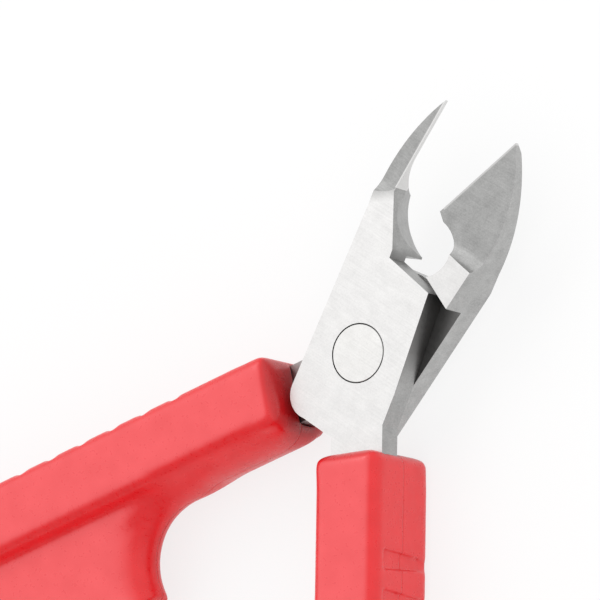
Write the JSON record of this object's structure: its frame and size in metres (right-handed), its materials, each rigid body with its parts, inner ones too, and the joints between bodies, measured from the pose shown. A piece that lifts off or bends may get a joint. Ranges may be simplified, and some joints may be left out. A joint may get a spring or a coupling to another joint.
{
  "type": "diagonal cutting pliers",
  "caption": "Electronics diagonal cutters with ground steel lap-jointed jaws on a flush rivet, moulded plastic grips and a coil return spring between them",
  "frame": {"origin": "on the pivot axis, at the rear ground face of the head (the rivet's flush rear end)", "axes": "+Z along the pivot axis to the front face, +Y halves the open jaws and points to their tips, +X to the right jaw"},
  "size_m": [0.1001, 0.1237, 0.0112],
  "materials": {
    "ground_steel": "satin ground",
    "rivet_steel": "ground flush",
    "grip_plastic": "moulded, slightly glossy",
    "spring_wire": "bright drawn wire"
  },
  "bodies": {
    "rear": {"rear_half": "ground_steel", "pivot_rivet": "rivet_steel", "left_grip": "grip_plastic", "return_spring": "spring_wire"},
    "front": {"front_half": "ground_steel", "right_grip": "grip_plastic"}
  },
  "joints": [
    {"name": "jaw_pivot", "type": "hinge", "parent": "rear", "child": "front", "pos_m": [0, 0, 0], "axis": [0, 0, 1], "range_deg": [-20.4, 0], "stiffness_Nm_per_rad": 0.6, "deforming": ["return_spring"]}
  ]
}
